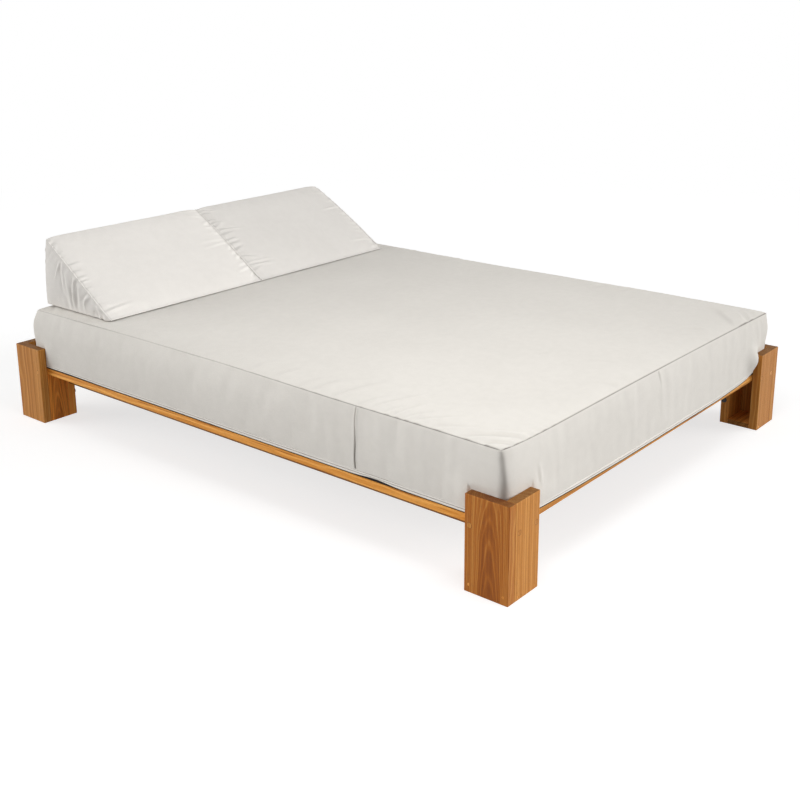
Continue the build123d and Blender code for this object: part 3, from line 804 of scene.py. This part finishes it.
def makeMattress(material, look=mattressLook):
    piece = newPiece("mattress_cover", slicedBox(look["faces"]))
    unit = readPoints(piece)
    seamLevel = 2 / look["faces"][2] - 1
    onEdge = np.abs(unit[:, :2]).max(1) > 0.9999
    held = (onEdge & (unit[:, 2] > 0.9999)) | (unit[:, 2] < seamLevel + 1e-4)
    points = hangOverFoot(puffUp(piece, mattressShape(unit, look), held, look), unit)
    topSeam = seamRoute(ringPoints(points, unit, 1))
    lowRing = ringPoints(points, unit, seamLevel)
    nearCorner = points[unit[:, :2].max(1) < -0.9999]
    cornerX, cornerY, cornerZ = nearCorner[np.argsort(nearCorner[:, 2])].T

    writePoints(piece, points)
    subdivide(piece)
    cutRows(piece, 1, look["pleat"] - 40 * mm, look["pleat"] + 40 * mm, 2)
    for row in look["rowCuts"]:
        cutRows(piece, *row)
    for seam in (topSeam, seamRoute(lowRing)):
        drawRowsTogether(piece, seam, look["seamReach"])
    points = readPoints(piece)
    x, y, z = points.T
    normals = readPoints(piece, "normal")
    top = smoothstep(normals[:, 2], 0.45, 0.75)
    side = smoothstep(np.abs(normals[:, 0]), 0.55, 0.85) * (1 - top)
    end = smoothstep(np.abs(normals[:, 1]), 0.55, 0.85) * (1 - top)

    # The near side's upright rows close up at the pleat
    share = np.clip((bandHigh.z - z) / (bandHigh.z - bandLow.z), 0, 1)
    fromPleat = y - look["pleat"] - 1.2 * mm * np.sin(share * 9)
    close = (normals[:, 0] < -0.3) & (np.abs(fromPleat) < look["pleatReach"])
    closer = fromPleat * (np.abs(fromPleat) / look["pleatReach"]) ** 1.1
    y[close] += (closer - fromPleat)[close]
    fromPleat = np.where(close, closer, 1.0)
    near = side * (normals[:, 0] < 0)
    foot = end * (normals[:, 1] < 0)

    distance, nearest = nearSeam(points, topSeam, 12 * mm)
    below = nearest[:, 2] - z > np.hypot(*(nearest - points)[:, :2].T)
    offset = np.where(below, distance, -distance)
    out = seamProfile(offset, look["topSeam"])
    # Painted shade along the top seam, fainter towards the head end, where the near side is lit
    tint = 1.2 - 0.85 * smoothstep(y, *look["shoulderRun"])
    crease = tint * hump(distance, 1.3 * mm)
    topHeights = top * foldHeights(points[:, [0, 1]], topFolds)
    out += topHeights
    # Painted shade in the valleys of the top's folds
    crease = np.maximum(crease, np.clip(-topHeights / mm, 0, 3) * 0.05)
    out += near * foldHeights(points[:, [1, 2]], sideFolds)
    out += foot * foldHeights(points[:, [0, 2]], footFolds)

    # The pleat: a slit that widens downwards between two folded edges
    width = (0.6 + 1.5 * smoothstep(share, 0.15, 0.8)) * mm
    inside = (share > 0.01) & (share < 0.97)
    slit = hump(fromPleat, width) * inside
    edges = hump(np.abs(fromPleat) - 4.0 * mm, 2.2 * mm) * inside
    out += edges * 1.5 * mm - slit * look["pleatDepth"]
    # Painted shade in the pleat's slit, darker lower down
    crease = np.maximum(crease, slit * (0.7 + 0.6 * smoothstep(share, 0.3, 0.8)))

    # Painted shade on the near corner, softer and wider on the foot's side
    fromCorner = np.hypot(x - np.interp(z, cornerZ, cornerX), y - np.interp(z, cornerZ, cornerY))
    shade, reach = look["cornerShade"]
    footShade, footReach = look["cornerShadeFoot"]
    shaded = shade * hump(fromCorner, reach) + footShade * foot * np.exp(-fromCorner / footReach)
    crease = np.maximum(crease, (1 - top) * shaded * (1 - smoothstep(z, 0.372, 0.396) * 0.6))

    # Slow swells and small ripples
    slow = noiseAt(points, 3.1, (4, 2, 7))
    ripple = noiseAt(points * (1, 1, 0.25), 13, (1, 5, 2))
    fine = noiseAt(points, 31, (8, 3, 1))
    out += top * (slow * 1.6 + fine * 0.25 + ripple * 0.5) * mm
    out += (side + end) * (ripple * 1.3 + slow * 1.5 + fine * 0.2) * mm
    endBulge, sideBulge = besideLegs(x, y, z)
    most = foot * endBulge * (x > 0) * (look["squeezeMost"] - look["squeeze"])
    out += look["squeeze"] * (end * endBulge + side * sideBulge) + most
    writePoints(piece, clearOfFrame(points + normals * out[:, None]))
    setPaintedShade(piece, crease)
    parts = ("foam", "top_panel", "side_band", "bottom_panel")
    finishSoft(piece, material, "mattress", "cover_cloth", 0.95, *parts)
    return lowRing


# The cover's lower border: two sewn lines, the flap over the zip, and a dark sheet of painted shadow in the
# gap under the flap. In its section are outwards and up in millimetres, the painted shade (0.85 in the sewn
# lines,
# 2 for the painted shadow), and the share of a lift
zipLook = {
    "section": [
        (-5, -10.6, 2, 0), (0.3, -10.6, 2, 0), (0.5, -9.4, 2, 0.2), (0.5, -8.2, 2, 1),
        (2.2, -8, 0.5, 1), (2.9, -7.2, 0, 1), (3.1, -5, 0, 0.8), (2.7, -3, 0, 0.5),
        (1.9, -1.9, 0.1, 0.3), (0.5, -1.3, 0.85, 0.2), (0.5, -0.7, 0.85, 0.2), (1.8, -0.1, 0.1, 0.1),
        (2.2, 1.4, 0, 0), (2, 3.4, 0, 0), (1.5, 4.4, 0.1, 0), (0.1, 4.9, 0.85, 0),
        (-0.4, 5.6, 0.85, 0), (-5, 5.8, 0.5, 0),
    ],
    "footLift": 2.8 * mm,
    # Where the flap stands off the deck on the near side: place, reach and height
    "lifts": [(-0.6, 0.052, 5.5 * mm), (0.8, 0.16, 2.6 * mm), (0.25, 0.22, 0.8 * mm)],
}


def makeZip(ring, material, look=zipLook):
    # The section goes round the ring, one loop at each of its points
    mesh = bmesh.new()
    loops = []
    for place, run in zip(ring, np.roll(ring, -1, 0) - np.roll(ring, 1, 0)):
        outwards = Vector((run[1], -run[0], 0)).normalized()
        loops.append([
            mesh.verts.new(Vector(place) + outwards * (out * mm) + Vector((0, 0, up * mm)))
            for out, up, tint, loose in look["section"]
        ])
    for here, there in zip(loops, loops[1:] + loops[:1]):
        joinLoops(mesh, here, there)
    bmesh.ops.recalc_face_normals(mesh, faces=mesh.faces)
    piece = newPiece("mattress_zip", mesh)

    out, up, tint, loose = np.transpose(look["section"])
    x, y, z = ring.T
    onFoot = y < bandLow.y + 60 * mm
    onNear = x < bandLow.x + 30 * mm
    tints = np.tile(tint, (len(ring), 1))
    # The upper line's painted shade is faint on the foot end
    tints[np.ix_(onFoot, [14, 15, 16])] *= 0.15
    setPaintedShade(piece, tints.ravel())
    lift = np.where(onFoot, look["footLift"], 0.6 * mm)
    for place, reach, height in look["lifts"]:
        lift = lift + onNear * height * hump(y - place, reach)
    points = readPoints(piece)
    points[:, 2] += np.outer(lift, loose).ravel()
    writePoints(piece, clearOfFrame(points))
    subdivide(piece)
    finishSoft(piece, material, "mattress", "zip_cloth", None, "zip_border")


# The wedge cushions

wedgeLook = {
    "levels": 6,
    "edgeBias": 0.45,
    "endCrown": 3 * mm,
    "middleCrown": 6 * mm,
    "gussetPuff": 8 * mm,
    "cornerDroop": 7 * mm,
    "lean": 15 * mm,
    "gussetShoulder": 30 * mm,
    "fillBefore": 0.4,
    "fill": {"bending_stiffness": 0.4, "shrink_min": -0.006, "uniform_pressure_force": 3.0},
    "cap": 6 * mm,
    "seamReach": 20 * mm,
    "seam": [(-0.5, -0.5, 1), (2.8, 1.1, 1.6), (5.6, -1, 1.4), (8.8, 0.5, 2), (-4, 0.6, 2)],
    # Where the wedges meet, the right one's welt lies over the left one's edge
    "meeting": {"left_wedge": (1, [(0, -0.6, 4)]), "right_wedge": (-1, [(0.8, 1.8, 2.4)])},
    "closing": 5 * mm,
    # Radius and lift of the welts at the left and right ends: the right wedge's lies over the joint
    "welts": {
        "left_wedge": ((2.2 * mm, 0.3 * mm), (0, 0)),
        "right_wedge": ((2.8 * mm, -0.9 * mm), (2.2 * mm, 0.3 * mm)),
    },
    # The painted shade in the seam's groove at the outer end and where the wedges meet
    "paintedSeamShade": (0.26, 0.05),
    # How far each wedge may bulge past its left and right gussets
    "roomBeside": {"left_wedge": (9 * mm, 1.6 * mm), "right_wedge": (0.4 * mm, 9 * mm)},
    "edgeLift": 4.5 * mm,
    "edgeReach": 30 * mm,
}


def wedgeCage():
    mesh = bmesh.new()
    ends = [[mesh.verts.new((x, *corner)) for corner in ((-1, -1), (1, -1), (1, 1))] for x in (-1, 1)]
    mesh.faces.new(ends[0])
    mesh.faces.new(reversed(ends[1]))
    joinLoops(mesh, *ends)
    bmesh.ops.recalc_face_normals(mesh, faces=mesh.faces)
    return mesh


def wedgeShape(unit, low, high, slope, look, outerEnd):
    # From a point of the cage to the wedge's surface
    middle = (low + high) / 2
    half = (high - low) / 2
    depth = high.y - low.y
    height = high.z - low.z
    fill = firstFill(look)
    a = biased(unit[:, 0], look["edgeBias"])
    y = low.y + (unit[:, 1] + 1) / 2 * depth
    z = low.z + (unit[:, 2] + 1) / 2 * height
    fromBase = z - low.z
    fromBack = high.y - y
    level = fromBase / height
    fromSlope = (y - low.y) * math.sin(slope) - fromBase * math.cos(slope)
    onEnd = np.abs(unit[:, 0]) > 0.9999
    inner = np.minimum(np.minimum(fromBase, fromBack), fromSlope)
    rounded = 1 - (1 - np.clip(inner / look["gussetShoulder"], 0, 1)) ** 2.5
    puff = onEnd * look["gussetPuff"] * fill * rounded
    crown = (look["endCrown"] + look["middleCrown"] * (1 - a ** 2)) * fill
    along = np.clip((unit[:, 1] + 1) / 2, 0, 1)
    onSlope = np.abs(fromSlope) < 1e-6
    onBack = np.abs(fromBack) < 1e-6
    slopeRise = onSlope * crown * 4 * along * (1 - along)
    backRise = onBack * crown * 0.8 * 4 * level * (1 - level)
    lean = look["lean"] * np.clip(a * outerEnd, 0, 1) ** 5 * level ** 2
    x = middle.x + a * half.x + np.sign(unit[:, 0]) * puff - outerEnd * lean
    y = y - slopeRise * math.sin(slope) + backRise
    z = z + slopeRise * math.cos(slope) - look["cornerDroop"] * np.abs(a) ** 18 * level ** 4
    return np.stack([x, y, z], 1), onEnd, onSlope, onBack, np.abs(fromBase) < 1e-6


def pleats(seed, low, high, slope):
    # Puckers at the slope's and the back's seams, and soft upright folds in the end panels
    random.seed(seed)
    draw = random.uniform
    slopeFolds = []
    length = math.hypot(high.y - low.y, high.z - low.z)
    for x, inwards, most in ((low.x, 1, 3.3), (high.x, -1, 2.3)):
        place = draw(0.03, 0.06)
        while place < length - 0.02:
            reach = random.choice((0.035, 0.05, 0.065, 0.08, 0.15))
            drift = draw(-0.03, 0.02)
            height = draw(most / 2, most) * mm
            end = x + inwards * reach, place + drift
            slopeFolds.append((x + inwards * 3 * mm, place, *end, draw(5, 8.5) * mm, height))
            place += draw(0.018, 0.042)
    endFolds = []
    place = low.y + 0.03
    while place < high.y - 0.09:
        # Each long fold has a smaller one beside it, which leans away from it
        top = low.z + (place - low.y) * math.tan(slope) - 4 * mm
        foot = place + draw(-0.035, 0.04), low.z - draw(-0.04, 0.06)
        endFolds.append((place, top, *foot, draw(7, 13) * mm, draw(3, 6.5) * mm))
        beside = place + draw(0.01, 0.022)
        foot = beside + draw(-0.03, 0.03), top - draw(0.04, 0.1)
        endFolds.append((beside, top, *foot, draw(4, 7) * mm, draw(1.5, 3.5) * mm))
        place += draw(0.028, 0.052)
    backFolds = []
    for x, inwards in ((low.x, 1), (high.x, -1)):
        place = low.z + 0.03
        while place < high.z - 0.015:
            end = x + inwards * draw(0.03, 0.11), place + draw(-0.015, 0.02)
            backFolds.append((x + inwards * 3 * mm, place, *end, draw(5, 10) * mm, draw(1.2, 2.8) * mm))
            place += draw(0.022, 0.05)
    return slopeFolds, endFolds, backFolds


def addWelt(piece, route, radius, sides=6):
    # A thin round welt along a seam, in the piece's own mesh
    mesh = bmesh.new()
    mesh.from_mesh(piece.data)
    loops = []
    for index, place in enumerate(route):
        run = route[min(index + 2, len(route) - 1)] - route[max(index - 2, 0)]
        loops.append(circle(mesh, place, run, radius, sides))
    faces = [face for here, there in zip(loops, loops[1:]) for face in joinLoops(mesh, here, there)]
    bmesh.ops.recalc_face_normals(mesh, faces=faces)
    mesh.to_mesh(piece.data)
    mesh.free()


def makeWedge(name, seed, material, look=wedgeLook):
    low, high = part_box(f"{name}_sleeve")
    high = Vector((high.x, high.y - 1.5 * mm, high.z))
    slope = math.atan2(high.z - low.z, high.y - low.y)
    piece = newPiece(f"{name}_cover", wedgeCage())
    subdivide(piece, "SIMPLE", look["levels"])
    unit = readPoints(piece)
    meetingEnd, meetingWaves = look["meeting"][name]
    points, onEnd, onSlope, onBack, onBase = wedgeShape(unit, low, high, slope, look, -meetingEnd)
    panels = onEnd.astype(int) + onSlope + onBack + onBase
    points = puffUp(piece, points, onBase | (panels > 1), look)
    seams = []
    for end in (-1, 1):
        loop = np.flatnonzero(onEnd & (panels > 1) & (unit[:, 0] * end > 0))
        turn = np.arctan2(unit[loop, 2] + 0.4, unit[loop, 1] - 0.3)
        seams.append(seamRoute(points[loop[np.argsort(turn)]]))
    subdivide(piece)
    cutRows(piece, 0, low.x - 4 * mm, low.x + 16 * mm, 1)
    cutRows(piece, 0, high.x - 16 * mm, high.x + 4 * mm, 1)
    for seam in seams:
        drawRowsTogether(piece, seam, look["seamReach"])
    points = readPoints(piece)
    x, y, z = points.T
    rested = points.copy()
    normals = readPoints(piece, "normal")

    slopeFolds, endFolds, backFolds = pleats(seed, low, high, slope)
    ends = smoothstep(np.abs(normals[:, 0]), 0.6, 0.85)
    slopes = smoothstep(normals[:, 2], 0.3, 0.6) * (1 - ends)
    backs = smoothstep(normals[:, 1], 0.5, 0.8) * (1 - ends)
    run = (y - low.y) * math.cos(slope) + (z - low.z) * math.sin(slope)
    out = slopes * foldHeights(np.stack([x, run], 1), slopeFolds)
    out += ends * foldHeights(points[:, [1, 2]], endFolds)
    out += backs * foldHeights(points[:, [0, 2]], backFolds)
    crease = np.zeros(len(points))
    for end, seam in zip((-1, 1), seams):
        distance, nearest = nearSeam(points, seam, 12 * mm)
        offset = np.where(ends > 0.5, -distance, distance)
        meets = end == meetingEnd
        waves = look["seam"] + (meetingWaves if meets else [])
        out += seamProfile(offset, waves)
        if meets:
            closing = meetingEnd * look["closing"] * hump(distance, 8 * mm)
        tint = look["paintedSeamShade"][meets]
        crease = np.maximum(crease, tint * hump(offset - 5.6 * mm, 1.2 * mm))
    slow = noiseAt(points, 5.3, (seed, 2, 7))
    ripple = noiseAt(points, 17, (seed, 5, 2))
    out += (slopes + backs) * (slow * 1.5 + ripple * 0.35) * mm
    out += ends * (slow * 1.5 + ripple * 0.8) * mm
    points += normals * out[:, None]
    x += closing
    z[:] = np.maximum(z, low.z)
    roomLeft, roomRight = look["roomBeside"][name]
    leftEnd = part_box(f"{name}_left_gusset")[0].x
    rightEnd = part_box(f"{name}_right_gusset")[1].x
    x[:] = np.clip(x, leftEnd - roomLeft, rightEnd + roomRight)
    # The front edge and the outer end stand a little off the mattress
    nearBase = 1 - smoothstep(z, low.z, low.z + 12 * mm)
    nearFront = 1 - smoothstep(y - low.y, 0, look["edgeReach"])
    nearSide = 1 - smoothstep(np.minimum(x - low.x, high.x - x), 0, look["edgeReach"])
    raised = np.maximum(nearFront, nearSide * 0.4)
    z += look["edgeLift"] * raised * nearBase
    # Painted shadow on the underside of the raised front edge and outer end
    under = smoothstep(-normals[:, 2], 0.35, 0.6)
    writePoints(piece, points)
    setPaintedShade(piece, np.maximum(crease, under * raised * 1.6))
    outwards = np.array([0, -math.sin(slope), math.cos(slope)])
    onSlope = (z > low.z + 14 * mm) & (y < high.y - 10 * mm)
    for seam, (radius, lift) in zip(seams, look["welts"][name]):
        if radius:
            distance, nearest = nearSeam(rested, seam, 3 * mm)
            chosen = np.flatnonzero((distance < 0.7 * mm) & onSlope)
            route = points[chosen[np.argsort(y[chosen])]] + outwards * lift
            addWelt(piece, (route[:-2] + route[1:-1] + route[2:]) / 3, radius)
    finishSoft(piece, material, name, "wedge_cloth", 0.9, "foam", "sleeve", "left_gusset", "right_gusset")


# The studio

studioLook = {
    "floorRadius": 30.0,
    "floorTint": (0.46, 0.46, 0.46),
    "floorLift": 0.7,
    "fadeFrom": 2.6,
    "fadeTo": 5.5,
    "skyStrength": 0.36,
}

# side is degrees to the right of the camera's heading, and share is the light on a face turned to the lamp
lampLook = {
    "right softbox": {"kind": "SUN", "side": 90, "height": 12, "spread": 42, "share": 0.765},
    "left softbox": {"kind": "SUN", "side": -90, "height": 12, "spread": 42, "share": 0.685},
    "corner softbox": {"kind": "AREA", "place": (-0.8, -1.2, 2.25), "size": 0.9, "share": 0.42},
}

cameraLook = {
    "photoSize": 800,
    "focalPixels": 1154.32,
    "sensor": 36.0,
    "shift": -0.12,
    "heading": 50.2533,
    "downward": 15.5904,
    "roll": -0.326,
    "place": (-2.94992, -2.48523, 1.49481),
}


def seenRays(finish):
    # 1 for what the camera sees, also in a mirror or through glass
    names = ("Is Camera Ray", "Is Glossy Ray", "Is Transmission Ray")
    camera, mirror, glass = [finish.add("ShaderNodeLightPath", output=name) for name in names]
    return camera + mirror + glass


def glow(finish, strength, kind="ShaderNodeEmission"):
    return finish.add(kind, {}, {"Color": (1, 1, 1, 1), "Strength": strength})


def makeStudio(look=studioLook):
    mesh = bmesh.new()
    bmesh.ops.create_circle(mesh, cap_ends=True, segments=96, radius=look["floorRadius"])
    floor = newPiece("studio_floor", mesh)
    finish = newFinish("studio floor")
    seen = seenRays(finish)
    x, y, z = finish.split(finish.coordinate())
    away = ((x * x + y * y) ** 0.5).between(look["fadeFrom"], look["fadeTo"])
    matt = finish.add("ShaderNodeBsdfDiffuse", {}, {"Color": (*look["floorTint"], 1)})
    lifted = finish.add("ShaderNodeAddShader", {}, {0: matt, 1: glow(finish, look["floorLift"])})
    near = finish.add("ShaderNodeMixShader", {}, {0: seen, 1: matt, 2: lifted})
    mixed = finish.add("ShaderNodeMixShader", {}, {0: away * seen, 1: near, 2: glow(finish, 1.0)})
    finish.add("ShaderNodeOutputMaterial", {}, {"Surface": mixed})
    useMaterial(floor, finish.owner)

    scene.world = bpy.data.worlds.new("studio")
    finish = Finish(scene.world)
    sky, white = [glow(finish, strength, "ShaderNodeBackground") for strength in (look["skyStrength"], 1.0)]
    mixed = finish.add("ShaderNodeMixShader", {}, {0: seenRays(finish), 1: sky, 2: white})
    finish.add("ShaderNodeOutputWorld", {}, {"Surface": mixed})


def makeLamps(looks=lampLook, camera=cameraLook):
    target = Vector((cadLow.x * 0.5, cadLow.y * 0.5, cadHigh.z * 0.6))
    for name, look in looks.items():
        lamp = bpy.data.lights.new(name, look["kind"])
        lit = bpy.data.objects.new(name, lamp)
        if look["kind"] == "SUN":
            turn = math.radians(camera["heading"] + look["side"])
            rise = math.radians(look["height"])
            towards = Vector((math.sin(turn), math.cos(turn), math.tan(rise))).normalized()
            lamp.angle = math.radians(look["spread"])
            lamp.energy = look["share"] * math.pi
            lit.location = towards * 4
        else:
            lit.location = look["place"]
            towards = lit.location - target
            lamp.size = look["size"]
            lamp.energy = look["share"] * (math.pi * towards.length) ** 2
        lit.rotation_mode = "QUATERNION"
        lit.rotation_quaternion = towards.to_track_quat("Z", "Y")
        scene.collection.objects.link(lit)


def makeCamera(look=cameraLook):
    lens = bpy.data.cameras.new("camera")
    lens.sensor_width = look["sensor"]
    lens.lens = look["focalPixels"] / look["photoSize"] * look["sensor"]
    lens.shift_y = look["shift"]
    lens.clip_end = 200
    camera = bpy.data.objects.new("camera", lens)
    aim = Matrix.Translation(look["place"])
    for degrees, axis in ((-look["heading"], "Z"), (90 - look["downward"], "X"), (look["roll"], "Z")):
        aim = aim @ Matrix.Rotation(math.radians(degrees), 4, axis)
    camera.matrix_world = aim
    scene.collection.objects.link(camera)
    scene.camera = camera


dressLegs()
dressDeck()
dressRails()
dressFasteners()
makePlugRings()
print("wood and fasteners dressed")
coverCloth = clothFinish("cover cloth")
leftCloth = clothFinish("left wedge cloth", wedgeClothLook, tone=1.02)
rightCloth = clothFinish("right wedge cloth", wedgeClothLook, tone=0.95)
zipCloth = clothFinish("zip cloth", tone=1.04)
makeZip(makeMattress(coverCloth), zipCloth)
makeWedge("left_wedge", 11, leftCloth)
makeWedge("right_wedge", 23, rightCloth)
makeStudio()
makeLamps()
makeCamera()
